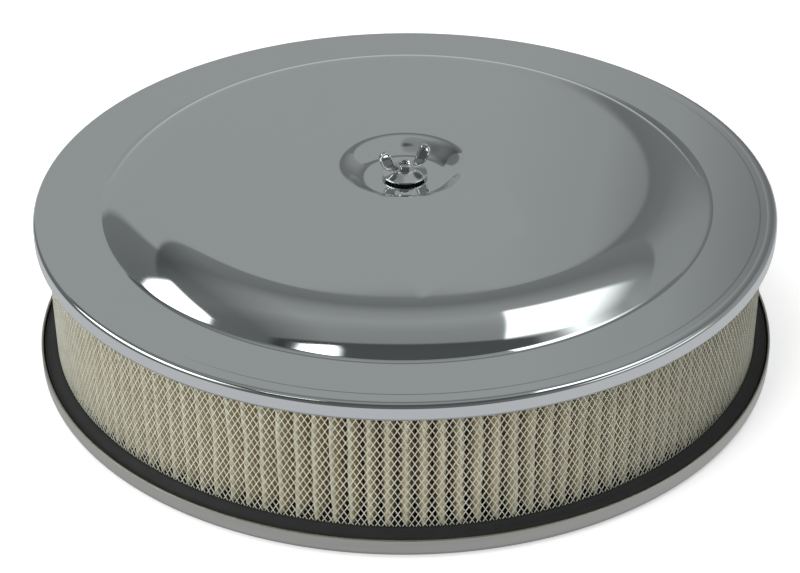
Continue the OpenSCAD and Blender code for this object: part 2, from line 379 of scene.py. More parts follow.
def use(tree, name, **values):
    """Places a group in a material; spaces in socket names are written as underscores."""
    made = tree.nodes.new("ShaderNodeGroup")
    made.node_tree = bpy.data.node_groups[name]
    for key, value in values.items():
        socket = made.inputs[key.replace("_", " ")]
        if isinstance(value, bpy.types.NodeSocket):
            tree.links.new(value, socket)
        else:
            socket.default_value = value
    return made.outputs


print("group helpers ready")

# %% Streaks that run round the axis
def build_turned_streaks():
    tree, given, result = group("turned streaks", [("Around", 6.0), ("Across", 900.0), ("Seed", 0.0)],
                                [("Fac", "NodeSocketFloat")])
    place = node(tree, "ShaderNodeTexCoord").outputs["Object"]
    parts = node(tree, "ShaderNodeSeparateXYZ", {0: place}).outputs
    angle = maths(tree, "ARCTAN2", parts["Y"], parts["X"])
    flat = node(tree, "ShaderNodeCombineXYZ", {0: parts["X"], 1: parts["Y"]}).outputs[0]
    radius = node(tree, "ShaderNodeVectorMath", {0: flat}, operation="LENGTH").outputs["Value"]
    # Noise on a circle of slow turns, so that the streaks close where the angle wraps
    turn_x = maths(tree, "MULTIPLY", maths(tree, "COSINE", angle), given["Around"])
    turn_y = maths(tree, "MULTIPLY", maths(tree, "SINE", angle), given["Around"])
    across = maths(tree, "MULTIPLY", maths(tree, "ADD", parts["Z"], radius), given["Across"])
    where = node(tree, "ShaderNodeCombineXYZ", {0: turn_x, 1: turn_y, 2: across}).outputs[0]
    noise = node(tree, "ShaderNodeTexNoise", {"Vector": where, "W": given["Seed"], "Scale": 1.0, "Detail": 4.0,
                 "Roughness": 0.6}, noise_dimensions="4D")
    tree.links.new(noise.outputs["Fac"], result["Fac"])


build_turned_streaks()
print("group: turned streaks")

# %% Dust and finger marks
def build_film():
    tree, given, result = group("film", [("Scale", 18.0), ("Cover", 0.5), ("Seed", 0.0)],
                                [("Fac", "NodeSocketFloat"), ("Specks", "NodeSocketFloat")])
    place = node(tree, "ShaderNodeTexCoord").outputs["Object"]
    cloud = node(tree, "ShaderNodeTexNoise", {"Vector": place, "W": given["Seed"], "Scale": given["Scale"],
                 "Detail": 6.0, "Roughness": 0.62}, noise_dimensions="4D").outputs["Fac"]
    low = maths(tree, "SUBTRACT", 1.0, given["Cover"])
    smear = maths(tree, "MULTIPLY", maths(tree, "SUBTRACT", cloud, low), 3.0, clamp=True)
    speck = node(tree, "ShaderNodeTexNoise", {"Vector": place, "W": given["Seed"], "Scale": 2600.0,
                 "Detail": 1.0}, noise_dimensions="4D").outputs["Fac"]
    dots = maths(tree, "MULTIPLY", maths(tree, "SUBTRACT", speck, 0.66), 9.0, clamp=True)
    tree.links.new(smear, result["Fac"])
    tree.links.new(dots, result["Specks"])


build_film()
print("group: film")

# %% Fine bumps of moulded and plated surfaces
def build_skin():
    tree, given, result = group(
        "skin", [("Scale", 400.0), ("Detail", 4.0), ("Distance", 0.0001), ("Strength", 0.3)],
        [("Fac", "NodeSocketFloat"), ("Normal", "NodeSocketVector")])
    place = node(tree, "ShaderNodeTexCoord").outputs["Object"]
    grain = node(tree, "ShaderNodeTexNoise", {"Vector": place, "Scale": given["Scale"],
                 "Detail": given["Detail"], "Roughness": 0.6}).outputs["Fac"]
    bump = node(tree, "ShaderNodeBump", {"Height": grain, "Strength": given["Strength"],
                "Distance": given["Distance"]}).outputs["Normal"]
    tree.links.new(grain, result["Fac"])
    tree.links.new(bump, result["Normal"])


build_skin()
print("group: skin")

# %% [markdown]
# ## Finishes
# Chrome is almost all mirror: its colour is a slightly cool grey, and what makes it look real is
# the long, low waviness of pressed sheet and a faint film where hands have been. The base pan is
# the same sheet without the chrome, so rolling streaks show. Rubber and paper are the opposite:
# nearly all diffuse, with their grain in the colour and in fine bumps.

# %% Material helper
def finish(name, **settings):
    """A new material; returns it with its tree and its Principled shader."""
    material = bpy.data.materials.new(name)
    material.use_nodes = True
    shader = material.node_tree.nodes["Principled BSDF"]
    for key, value in settings.items():
        shader.inputs[key.replace("_", " ")].default_value = value
    return material, material.node_tree, shader


def span(tree, value, low, high):
    """Stretches a 0 to 1 mask to the range low to high."""
    return node(tree, "ShaderNodeMapRange", {"Value": value, "To Min": low, "To Max": high}).outputs["Result"]


print("material helpers ready")

# %% Chrome
def chrome(name, colour, wave_strength):
    material, tree, shader = finish(name, Metallic=1.0)
    film = use(tree, "film", Scale=9.0, Cover=0.47, Seed=2.0)
    tone = mix(tree, span(tree, film["Fac"], 0.0, 0.35), colour, tuple(c * 0.93 for c in colour))
    tree.links.new(tone, shader.inputs["Base Color"])
    specks = maths(tree, "MULTIPLY", film["Specks"], 0.04)
    rough = maths(tree, "ADD", span(tree, film["Fac"], 0.05, 0.08), specks)
    tree.links.new(rough, shader.inputs["Roughness"])
    wave = use(tree, "skin", Scale=12.0, Detail=0.0, Distance=0.0006, Strength=wave_strength)
    tree.links.new(wave["Normal"], shader.inputs["Normal"])
    return material


lid_chrome = chrome("lid_chrome", (0.80, 0.82, 0.82), 0.03)
nut_chrome = chrome("nut_chrome", (0.86, 0.87, 0.88), 0.05)
print("chrome for the lid and the nut")

# %% Bare brushed steel of the base
def brushed_steel():
    material, tree, shader = finish("base_steel", Metallic=1.0)
    streak = use(tree, "turned streaks", Around=5.0, Across=1400.0, Seed=1.0)["Fac"]
    broad = use(tree, "turned streaks", Around=3.0, Across=260.0, Seed=4.0)["Fac"]
    film = use(tree, "film", Scale=14.0, Cover=0.5, Seed=5.0)
    colour = mix(tree, broad, (0.54, 0.53, 0.48), (0.74, 0.73, 0.67))
    colour = mix(tree, span(tree, streak, 0.0, 0.4), colour, (0.72, 0.71, 0.68))
    tree.links.new(colour, shader.inputs["Base Color"])
    rough = maths(tree, "ADD", span(tree, streak, 0.30, 0.48), maths(tree, "MULTIPLY", film["Fac"], 0.06))
    tree.links.new(rough, shader.inputs["Roughness"])
    bump = node(tree, "ShaderNodeBump", {"Height": streak, "Strength": 0.25, "Distance": 0.00008})
    tree.links.new(bump.outputs["Normal"], shader.inputs["Normal"])
    return material


base_steel = brushed_steel()
print("brushed steel for the base")

# %% Rubber
def rubber(name, dark, light, grain):
    material, tree, shader = finish(name, Roughness=0.7, Specular_IOR_Level=0.35)
    film = use(tree, "film", Scale=60.0, Cover=0.52, Seed=7.0)
    colour = mix(tree, span(tree, film["Fac"], 0.0, 0.7), dark, light)
    colour = mix(tree, span(tree, film["Specks"], 0.0, 0.35), colour, tuple(c * 3.2 for c in light))
    tree.links.new(colour, shader.inputs["Base Color"])
    skin = use(tree, "skin", Scale=grain, Distance=0.0002, Strength=0.35)
    tree.links.new(span(tree, skin["Fac"], 0.55, 0.8), shader.inputs["Roughness"])
    tree.links.new(skin["Normal"], shader.inputs["Normal"])
    return material


seal_rubber = rubber("seal_rubber", (0.021, 0.022, 0.021), (0.030, 0.031, 0.030), 900.0)
gasket_rubber = rubber("gasket_rubber", (0.014, 0.014, 0.015), (0.024, 0.024, 0.024), 1500.0)
print("rubber for the seals and for the small rings")

# %% Filter paper
def filter_paper():
    """Cream paper with painted shade: paler on the folds that face out, darker and browner down in the pleats.
    """
    material, tree, shader = finish("filter_paper", Roughness=0.9, Specular_IOR_Level=0.15)
    place = node(tree, "ShaderNodeTexCoord").outputs["Object"]
    parts = node(tree, "ShaderNodeSeparateXYZ", {0: place}).outputs
    flat = node(tree, "ShaderNodeCombineXYZ", {0: parts["X"], 1: parts["Y"]}).outputs[0]
    radius = node(tree, "ShaderNodeVectorMath", {0: flat}, operation="LENGTH").outputs["Value"]
    # Painted shade: the colour darkens and browns towards the inner radius, deep in the pleat valleys, and is
    # palest at the outer fold tips.
    depth = node(tree, "ShaderNodeMapRange",
                 {"Value": radius, "From Min": inner_screen_r, "From Max": screen_r})
    tone = ramp(tree, depth.outputs["Result"], [
        (0.0, (0.38, 0.29, 0.15)), (0.55, (0.52, 0.43, 0.25)), (0.86, (0.52, 0.475, 0.32)),
        (0.96, (0.49, 0.475, 0.36)), (1.0, (0.52, 0.51, 0.40))])
    fibres = node(tree, "ShaderNodeTexNoise",
                  {"Vector": place, "Scale": 700.0, "Detail": 6.0, "Roughness": 0.7})
    blotch = use(tree, "film", Scale=34.0, Cover=0.56, Seed=3.0)["Fac"]
    tone = mix(tree, span(tree, fibres.outputs["Fac"], 0.0, 0.30), tone, (0.46, 0.38, 0.24))
    tone = mix(tree, span(tree, blotch, 0.0, 0.22), tone, (0.34, 0.27, 0.16))
    tree.links.new(tone, shader.inputs["Base Color"])
    bump = node(tree, "ShaderNodeBump", {"Height": fibres.outputs["Fac"], "Strength": 0.4, "Distance": 0.0002})
    tree.links.new(bump.outputs["Normal"], shader.inputs["Normal"])
    return material


paper = filter_paper()
print("filter paper")

# %% Plated wire and stud
def plated(name, dark, light, rough, metallic=1.0):
    material, tree, shader = finish(name, Metallic=metallic)
    film = use(tree, "film", Scale=120.0, Cover=0.55, Seed=9.0)
    tree.links.new(mix(tree, film["Fac"], light, dark), shader.inputs["Base Color"])
    skin = use(tree, "skin", Scale=2500.0, Distance=0.00005, Strength=0.3)
    tree.links.new(span(tree, skin["Fac"], rough - 0.08, rough + 0.1), shader.inputs["Roughness"])
    tree.links.new(skin["Normal"], shader.inputs["Normal"])
    return material


screen_wire = plated("screen_wire", (0.46, 0.46, 0.38), (0.62, 0.62, 0.54), 0.42, 0.25)
stud_steel = plated("stud_steel", (0.52, 0.50, 0.44), (0.72, 0.70, 0.64), 0.3)
print("plated wire and stud")

# %% [markdown]
# ## Turned pieces
# Most of the object is made by turning: a half section, carried once round the axis. A mirror
# finish forgives nothing, so long flat stretches of the section get extra rings, with one close
# to each bend. Otherwise the bend's shading would bleed across the flat. The short steps of an arc
# stay as they are, since extra rings there would show as facets.

# %% Half sections
def arc(centre, radius, start, end, steps=8):
    """Points on an arc; angles in degrees, anticlockwise from outwards."""
    points = []
    for i in range(steps + 1):
        a = math.radians(start + (end - start) * i / steps)
        points.append((centre[0] + radius * math.cos(a), centre[1] + radius * math.sin(a)))
    return points


def s_curve(a, b, steps=20):
    """Soft step from a to b, level at both ends."""
    return [(a[0] + (b[0] - a[0]) * i / steps,
             a[1] + (b[1] - a[1]) * (1 - math.cos(math.pi * i / steps)) / 2) for i in range(steps + 1)]


def offset(path, distance):
    """The path moved to its left, mitred at each point."""
    moved = []
    for i, point in enumerate(path):
        before = Vector(path[max(i, 1)]) - Vector(path[max(i, 1) - 1])
        after = Vector(path[min(i, len(path) - 2) + 1]) - Vector(path[min(i, len(path) - 2)])
        n1, n2 = Vector((-before.y, before.x)).normalized(), Vector((-after.y, after.x)).normalized()
        side = (n1 + n2).normalized()
        moved.append(tuple(Vector(point) + side * (distance / side.dot(n1))))
    return moved


def sheet(path, thickness):
    """Closed section of sheet metal on the left of a path."""
    return path + offset(path, thickness)[::-1]


def softened(section, radius, sharper_than=25):
    """Rounds each real corner of a closed section, as far as its two sides allow."""
    result = []
    for i, point in enumerate(section):
        corner = Vector(point)
        before, after = Vector(section[i - 1]) - corner, Vector(section[(i + 1) % len(section)]) - corner
        if math.pi - before.angle(after) < math.radians(sharper_than):
            result.append(point)
            continue
        cut = min(radius, 0.45 * before.length, 0.45 * after.length)
        a, b = corner + before.normalized() * cut, corner + after.normalized() * cut
        for t in (0, 0.25, 0.5, 0.75, 1):
            result.append(tuple(a * (1 - t) ** 2 + corner * 2 * t * (1 - t) + b * t ** 2))
    return result


def tightened(section, longest, near=0.3):
    """Adds points on long stretches, two of them close to the ends."""
    result = []
    for i, a in enumerate(section):
        b = section[(i + 1) % len(section)]
        result.append(a)
        length = math.dist(a, b)
        if length > max(3 * near, 0.65 * longest):
            parts = math.ceil(length / longest)
            for t in [near / length, *(k / parts for k in range(1, parts)), 1 - near / length]:
                result.append((a[0] + (b[0] - a[0]) * t, a[1] + (b[1] - a[1]) * t))
    return result


print("section helpers ready")

# %% Turning
SHARP_ANGLE = math.radians(38)


def link(name, mesh, material, smooth=True):
    """A finished mesh as an object of the scene, at the origin."""
    for polygon in mesh.polygons:
        polygon.use_smooth = smooth
    if smooth:
        mesh.set_sharp_from_angle(angle=SHARP_ANGLE)
    mesh.materials.clear()
    mesh.materials.append(material)
    obj = bpy.data.objects.new(name, mesh)
    bpy.context.scene.collection.objects.link(obj)
    return obj


def turned_mesh(name, section, turns=240, longest=4.0, shape=None):
    """Carries a closed section, in millimetres, round the axis; shape(r, z, angle) may vary its radius."""
    section = tightened(section, longest)
    verts, faces, count = [], [], len(section)
    for k in range(turns):
        a = 2 * math.pi * k / turns
        for r, z in section:
            r = shape(r, z, a) if shape else r
            verts.append((r * MM * math.cos(a), r * MM * math.sin(a), z * MM))
    for k in range(turns):
        here, beyond = k * count, (k + 1) % turns * count
        for i in range(count):
            j = (i + 1) % count
            faces.append((here + i, here + j, beyond + j, beyond + i))
    mesh = bpy.data.meshes.new(name)
    mesh.from_pydata(verts, [], faces)
    tidied(mesh)
    return mesh


def tidied(mesh, merge=0.002):
    """Merges doubled points, drops empty faces and turns all faces outwards."""
    bm = bmesh.new()
    bm.from_mesh(mesh)
    bmesh.ops.remove_doubles(bm, verts=bm.verts, dist=merge * MM)
    bmesh.ops.dissolve_degenerate(bm, edges=bm.edges, dist=0.001 * MM)
    bmesh.ops.recalc_face_normals(bm, faces=bm.faces)
    bm.to_mesh(mesh)
    bm.free()


def place(obj, body, slot, *nodes):
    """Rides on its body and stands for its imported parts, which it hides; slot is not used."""
    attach(obj, body)
    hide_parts(*nodes)
    print(obj.name, "rides on", body, "with", len(obj.data.polygons), "faces")


print("turning helpers ready")

# %% [markdown]
# ## The lid
# One pressing of 1 mm sheet, chromed all over. From the outside in: a hem that turns under, the
# skirt, a bright edge bend, the flat flange with two faint rolled lines, a small concave bend, a
# sloping side, a broad round shoulder, a top that is crowned by a few millimetres, and the dimple
# for the nut. The crown is what makes the reflections curve, so it is computed ring by ring.

# %% Lid section
LID_T = 1.0
HEM_R = 1.6
HEM_ANGLE = 50
EDGE_R = 2.4
DOME_FOOT_R = 147.5
DOME_RISE = 12.3
CROWN_SLOPE = 2.6
CROWN_RINGS = 36
DOME_SLOPE = 36
SHOULDER_R = 50.0
FOOT_BEND_R = 4.0
DIMPLE_RIM_R = 32.5
DIMPLE_FLOOR_R = 18.5
ROLLED_LINES = (169.6, 173.2)
ROLLED_STEP = 0.025

lid_out = lid_r / MM
skirt_z = foot("lid") / MM - HEM_R * (1 - math.sin(math.radians(HEM_ANGLE)))
flange_z = top("upper_end_seal") / MM + LID_T
dimple_z = foot("sealing_washer") / MM
grommet_r = (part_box("centre_stud")[1][0] / MM) + 2.0
shoulder_z = flange_z + DOME_RISE
slope, crown_slope = math.radians(DOME_SLOPE), math.radians(CROWN_SLOPE)
shoulder_drop = SHOULDER_R * (math.cos(crown_slope) - math.cos(slope))
straight = (DOME_RISE - shoulder_drop - FOOT_BEND_R * (1 - math.cos(slope))) / math.sin(slope)
slope_run = SHOULDER_R * (math.sin(slope) - math.sin(crown_slope)) + FOOT_BEND_R * math.sin(slope)
shoulder_start = DOME_FOOT_R - slope_run - straight * math.cos(slope)
crown_h = shoulder_start * math.tan(crown_slope) / 2


def crown_at(r):
    """Height of the crowned top at radius r."""
    return shoulder_z + crown_h * (1 - (r / shoulder_start) ** 2)


def lid_path():
    """Outer surface of the lid, from its hem up and in to the stud hole."""
    lines = []
    for i, r in enumerate(reversed(ROLLED_LINES)):
        drop = ROLLED_STEP * (i % 2)
        lines += s_curve((r + 0.4, flange_z - drop), (r - 0.4, flange_z - ROLLED_STEP + drop), 4)
    shoulder_centre = (shoulder_start - SHOULDER_R * math.sin(crown_slope),
                       shoulder_z - SHOULDER_R * math.cos(crown_slope))
    crown = [shoulder_start + (DIMPLE_RIM_R - shoulder_start) * i / CROWN_RINGS for i in range(1, CROWN_RINGS)]
    return (
        arc((lid_out - HEM_R, skirt_z + HEM_R), HEM_R, -HEM_ANGLE, 0)
        + arc((lid_out - EDGE_R, flange_z - EDGE_R), EDGE_R, 0, 90, 12)
        + lines
        + arc((DOME_FOOT_R, flange_z + FOOT_BEND_R), FOOT_BEND_R, -90, -90 - DOME_SLOPE)
        + arc(shoulder_centre, SHOULDER_R, 90 - DOME_SLOPE, 90 - CROWN_SLOPE, 28)
        + [(r, crown_at(r)) for r in crown]
        + s_curve((DIMPLE_RIM_R, crown_at(DIMPLE_RIM_R)), (DIMPLE_FLOOR_R, dimple_z))
        + [(grommet_r, dimple_z)]
    )


print("lid: flange at", round(flange_z, 2), "mm, shoulder starts at radius", round(shoulder_start, 2), "mm")

# %% Lid mesh
lid_mesh = turned_mesh("chromed_lid", softened(sheet(lid_path(), LID_T), 0.35, 40), 320)
place(link("chromed_lid", lid_mesh, lid_chrome), "lid", "lid_chrome", "lid")

# %% [markdown]
# ## The base pan and its gasket
# The pan is plain brushed sheet: a short rim that holds the filter's lower seal, a raised step
# that centres it, a well for the gasket and a neck that fits over the carburettor. Its rim is
# the only part seen with the filter in place, but the neck and the step show with the lid lifted.

# %% Base pan section
PAN_T = 1.0
RIM_BEND_R = 1.8
STEP_H = 10.0
STEP_W = 12.0
WELL_BEND_R = 3.0
NECK_BEND_R = 1.2
SEAL_GAP = 0.6
RIM_H = 8.8
SEAL_INNER_R = 151.9

base_in = base_r / MM - PAN_T
neck_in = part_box("neck_gasket")[1][0] / MM
gasket_top = top("neck_gasket") / MM
seat_z = gasket_top + PAN_T
NECK_R = 65.3
SEAT_OUT_R = neck_in + WELL_BEND_R
step_out = SEAL_INNER_R - SEAL_GAP


def pan_path():
    """Upper surface of the pan, from the rim in to the top of the neck."""
    return (
        [(base_in, RIM_H)]
        + arc((base_in - RIM_BEND_R, PAN_T + RIM_BEND_R), RIM_BEND_R, 0, -90)
        + s_curve((step_out, PAN_T), (step_out - STEP_W, STEP_H), 24)
        + arc((SEAT_OUT_R + WELL_BEND_R, STEP_H - WELL_BEND_R), WELL_BEND_R, 90, 180)
        + arc((SEAT_OUT_R - WELL_BEND_R, seat_z + WELL_BEND_R), WELL_BEND_R, 0, -90)
        + arc((NECK_R + PAN_T + NECK_BEND_R, seat_z + NECK_BEND_R), NECK_BEND_R, -90, -180)
        + [(NECK_R + PAN_T, top("base_pan") / MM)]
    )


pan_mesh = turned_mesh("brushed_base", softened(sheet(pan_path(), PAN_T), 0.35, 40), 300, 6.0)
place(link("brushed_base", pan_mesh, base_steel), "base", "base_steel", "base_pan")

# %% Neck gasket
GASKET_RIB = 0.25
gasket_in, gasket_out = NECK_R + 0.4, neck_in
gasket_ribs = []
middle, half_width = (gasket_in + gasket_out) / 2, (gasket_out - gasket_in) / 2
# Three ribs on the lower face outwards, then three on the upper face inwards
for side, level, crest in ((1, GASKET_RIB, 0), (-1, gasket_top - GASKET_RIB, gasket_top)):
    gasket_ribs.append((middle - side * half_width, level))
    for k in (-1.4, 0, 1.4):
        gasket_ribs += [(middle + side * (k + across), level if across else crest) for across in (-0.5, 0, 0.5)]
    gasket_ribs.append((middle + side * half_width, level))
gasket_mesh = turned_mesh("ribbed_gasket", softened(gasket_ribs, 0.3, 20), 144)
place(link("ribbed_gasket", gasket_mesh, gasket_rubber), "base", "gasket_rubber", "neck_gasket")

# %% [markdown]
# ## The moulded end seals
# Each end of the filter is cast into a ring of soft black rubber. The ring is thickest over the
# pleats and steps down to a thin lip that the pan or the lid presses on. The casting leaves a
# low bead round the lip and a slightly dished face, because rubber shrinks as it cures.

# %% End seals
SEAL_H = 9.5
SEAL_STEP = 2.4
SEAL_CHAMFER = 1.8
BEAD = 0.35
SINK = 0.25


def seal_section(out_r):
    """Half section of a seal whose flat sealing face is at height 0."""
    screen = screen_r / MM
    lip = SEAL_H - SEAL_STEP
    face = [(SEAL_INNER_R + 3 + (out_r - SEAL_INNER_R - 8) * i / 12, SINK * math.sin(math.pi * i / 12))
            for i in range(13)]
    bead = [(out_r, lip - 0.6), (out_r - 0.5, lip), (out_r - 1.1, lip - BEAD)]
    return (
        [(SEAL_INNER_R, 0)] + face + [(out_r - SEAL_CHAMFER, 0), (out_r, SEAL_CHAMFER)] + bead
        + s_curve((out_r - 1.6, lip - BEAD + 0.1), (screen + 0.6, SEAL_H), 10)
        + [(SEAL_INNER_R + 1, SEAL_H), (SEAL_INNER_R, SEAL_H - 1)]
    )


for name, cad_node, face_z, way in (
    ("lower_seal", "lower_end_seal", foot("lower_end_seal") / MM, 1),
    ("upper_seal", "upper_end_seal", top("upper_end_seal") / MM, -1),
):
    section = [(r, face_z + way * z) for r, z in seal_section(reach(cad_node) / MM)]
    seal = turned_mesh(name, softened(section, 0.6, 22), 240, 5.0)
    place(link(name, seal, seal_rubber), "element", "seal_rubber", cad_node)

# %% [markdown]
# ## What repeats round the axis
# The paper is one pleat after another, and both wire screens are one diamond after another in
# rows. One Geometry Nodes tree serves all three: it sets copies of a small cell round the axis,
# stacks them in rows, welds them together and bends the result by a little noise, because no
# hand-folded pleat or stretched wire is perfectly even. It ends as plain mesh.

# %% The tree: repeat round axis
def build_repeat_tree():
    tree = bpy.data.node_groups.new("repeat round axis", "GeometryNodeTree")
    face = tree.interface
    face.new_socket("Geometry", in_out="INPUT", socket_type="NodeSocketGeometry")
    for label, kind, default in (
        ("Slots", "Int", 136), ("Filled", "Int", 136), ("Start", "Float", 0.0), ("Rows", "Int", 1),
        ("Row Pitch", "Float", 0.005), ("Wobble", "Vector", (0, 0, 0)), ("Wobble Scale", "Float", 60.0),
        ("Seed", "Float", 1.0), ("Weld", "Float", 1e-6),
    ):
        face.new_socket(label, in_out="INPUT", socket_type="NodeSocket" + kind).default_value = default
    face.new_socket("Material", in_out="INPUT", socket_type="NodeSocketMaterial")
    face.new_socket("Geometry", in_out="OUTPUT", socket_type="NodeSocketGeometry")
    given = tree.nodes.new("NodeGroupInput").outputs

    # One point for each copy: its place along the row gives its turn, its row gives its height
    count = maths(tree, "MULTIPLY", given["Filled"], given["Rows"])
    points = node(tree, "GeometryNodePoints", {"Count": count}).outputs[0]
    index = node(tree, "GeometryNodeInputIndex").outputs[0]
    row = maths(tree, "FLOOR", maths(tree, "DIVIDE", index, given["Filled"]))
    slot = maths(tree, "SUBTRACT", index, maths(tree, "MULTIPLY", row, given["Filled"]))
    turn = maths(tree, "DIVIDE", maths(tree, "MULTIPLY", slot, 2 * math.pi), given["Slots"])
    turn = maths(tree, "ADD", turn, given["Start"])
    height = maths(tree, "MULTIPLY", row, given["Row Pitch"])
    lift = node(tree, "ShaderNodeCombineXYZ", {"Z": height}).outputs[0]
    spin = node(tree, "ShaderNodeCombineXYZ", {"Z": turn}).outputs[0]
    points = node(tree, "GeometryNodeSetPosition", {"Geometry": points, "Position": lift}).outputs[0]
    copies = node(tree, "GeometryNodeInstanceOnPoints", {"Points": points, "Instance": given["Geometry"],
                  "Rotation": spin}).outputs[0]
    real = node(tree, "GeometryNodeRealizeInstances", {"Geometry": copies}).outputs[0]
    real = node(tree, "GeometryNodeMergeByDistance", {"Geometry": real, "Distance": given["Weld"]}).outputs[0]

    # Noise from -1 to 1 in three directions, scaled by Wobble and added to each point's place
    where = node(tree, "GeometryNodeInputPosition").outputs[0]
    noise = node(tree, "ShaderNodeTexNoise", {"Vector": where, "W": given["Seed"],
                 "Scale": given["Wobble Scale"], "Detail": 1.0}, noise_dimensions="4D").outputs["Color"]
    shift = node(tree, "ShaderNodeVectorMath", {0: noise, 1: (0.5,) * 3}, operation="SUBTRACT").outputs[0]
    shift = node(tree, "ShaderNodeVectorMath", {0: shift, 1: given["Wobble"]}, operation="MULTIPLY").outputs[0]
    real = node(tree, "GeometryNodeSetPosition", {"Geometry": real, "Offset": shift}).outputs[0]
    real = node(tree, "GeometryNodeSetMaterial", {"Geometry": real, "Material": given["Material"]}).outputs[0]
    tree.links.new(real, tree.nodes.new("NodeGroupOutput").inputs[0])
    return tree


repeat_tree = build_repeat_tree()


def repeated(name, cell, thickness=0.0, **inputs):
    """Runs the tree on a cell mesh and returns the plain mesh that it makes."""
    seed = bpy.data.objects.new(name + "_cell", cell)
    bpy.context.scene.collection.objects.link(seed)
    modifier = seed.modifiers.new("repeat", "NODES")
    modifier.node_group = repeat_tree
    for socket in repeat_tree.interface.items_tree:
        if socket.in_out == "INPUT" and socket.name.replace(" ", "_") in inputs:
            modifier[socket.identifier] = inputs[socket.name.replace(" ", "_")]
    if thickness:
        walls = seed.modifiers.new("paper", "SOLIDIFY")
        walls.thickness = thickness * MM
        walls.offset = 0.0
    bpy.context.view_layer.update()
    result = bpy.data.meshes.new_from_object(seed.evaluated_get(bpy.context.evaluated_depsgraph_get()))
    result.name = name
    bpy.data.objects.remove(seed)
    print(name, "has", sum(len(p.vertices) - 2 for p in result.polygons), "triangles")
    return result


def on_drum(radius, across, up):
    """A point on a drum of that radius, across and up from the start of its cell, in millimetres."""
    a = across / radius
    return (radius * MM * math.cos(a), radius * MM * math.sin(a), up * MM)


print("repeat tree ready")

# %% [markdown]
# ## Pleated paper
# The cell is one fold seen from above: out along a flank, round the tip and back. It is made in
# several rows from bottom to top, so that the noise can bend the pleat as real paper bends.

# %% Pleats
PLEATS = 136
PAPER_T = 0.5
TIP_R = 0.85
VALLEY_R = 0.45
PAPER_ROWS = 9
media_low, media_high = foot("pleated_media") / MM, top("pleated_media") / MM
media_out = reach("pleated_media") / MM - 0.5
media_in = inner_screen_r / MM + 1.1


def pleat_cell():
    """One pleat from valley to valley, as a strip of quads."""
    pitch = 2 * math.pi / PLEATS
    def at(a, r, side):
        return (r * math.cos(a) - side * math.sin(a), r * math.sin(a) + side * math.cos(a))
    valley = ((0, 0), (0.15, VALLEY_R * 0.75), (0.6, VALLEY_R))
    line = [at(-pitch / 2, media_in + out, side) for out, side in valley]
    for t in (-90, -60, -30, 0, 30, 60, 90):
        t = math.radians(t)
        line.append(at(0, media_out - TIP_R * (1 - math.cos(t)), TIP_R * math.sin(t)))
    line += [at(pitch / 2, media_in + out, -side) for out, side in reversed(valley)]
    verts, faces, count = [], [], len(line)
    for row in range(PAPER_ROWS):
        z = media_low - 0.6 + (media_high - media_low + 1.2) * row / (PAPER_ROWS - 1)
        verts += [(x * MM, y * MM, z * MM) for x, y in line]
    for row in range(PAPER_ROWS - 1):
        for i in range(count - 1):
            a = row * count + i
            faces.append((a, a + 1, a + 1 + count, a + count))
    mesh = bpy.data.meshes.new("pleat")
    mesh.from_pydata(verts, [], faces)
    return mesh


step_angle = 2 * math.pi / PLEATS
media_mesh = repeated("pleated_paper", pleat_cell(), PAPER_T, Slots=PLEATS, Filled=PLEATS - 1,
                      Start=math.pi / 2 + step_angle, Wobble=(0.0026, 0.0026, 0.0), Wobble_Scale=55.0, Seed=3.0,
                      Weld=0.00005, Material=paper)
place(link("pleated_paper", media_mesh, paper), "element", "filter_paper", "pleated_media")

# %% [markdown]
# ## Wire screens
# Expanded metal: a slit sheet pulled open until the slits are diamonds. The cell is one X, with
# its joints a little wider than its strands. Copies share their edge points, so the weld makes
# one continuous net of it.

# %% Screens
DIAMOND_W = 2.92
DIAMOND_H = 4.9
JOINT_W = 0.35
JOINT_H = 0.68
WIRE_T = 0.36


def diamond_cell(name, radius, width):
    """One X of a drum-shaped net: its front, its back and the walls between them."""
    w, h, jw, jh = width / 2, DIAMOND_H / 2, JOINT_W / 2, JOINT_H / 2
    flat = [(jw, 0), (0, jh), (-jw, 0), (0, -jh)]
    for sx, sy in ((1, 1), (-1, 1), (-1, -1), (1, -1)):
        flat += [(sx * w, sy * (h - jh)), (sx * w, sy * h), (sx * (w - jw), sy * h)]
    scale = 1 - WIRE_T / radius
    verts = [on_drum(radius, x, y + h) for x, y in flat]
    verts += [on_drum(radius - WIRE_T, x * scale, y + h) for x, y in flat]
    arms = ((0, 4, 5, 6, 1), (2, 1, 9, 8, 7), (2, 10, 11, 12, 3), (0, 3, 15, 14, 13))
    rims = ((4, 0), (1, 6), (9, 1), (2, 7), (10, 2), (3, 12), (15, 3), (0, 13))
    back = len(flat)
    faces = [(0, 1, 2, 3), *arms] + [tuple(back + i for i in reversed(f)) for f in ((0, 1, 2, 3), *arms)]
    faces += [(a, b, back + b, back + a) for a, b in rims]
    mesh = bpy.data.meshes.new(name)
    mesh.from_pydata(verts, [], faces)
    return mesh


def screen(name, radius, cad_node, seed):
    low, high = foot(cad_node) / MM, top(cad_node) / MM
    slots = round(2 * math.pi * radius / DIAMOND_W)
    rows = math.ceil((high - low) / DIAMOND_H)
    cell = diamond_cell(name + "_x", radius, 2 * math.pi * radius / slots)
    mesh = repeated(name, cell, Slots=slots, Filled=slots, Rows=rows, Row_Pitch=DIAMOND_H * MM, Start=0.0,
                    Wobble=(0.0003, 0.0003, 0.0004), Wobble_Scale=45.0, Seed=seed, Weld=0.00002,
                    Material=screen_wire)
    spare = rows * DIAMOND_H - (high - low)
    mesh.transform(Matrix.Translation((0, 0, (low - spare / 2) * MM)))
    tidied(mesh)
    place(link(name, mesh, screen_wire, smooth=False), "element", "screen_wire", cad_node)


screen("outer_net", screen_r / MM - 0.05, "outer_screen", 5.0)
screen("inner_net", inner_screen_r / MM - 0.05, "inner_screen", 6.0)

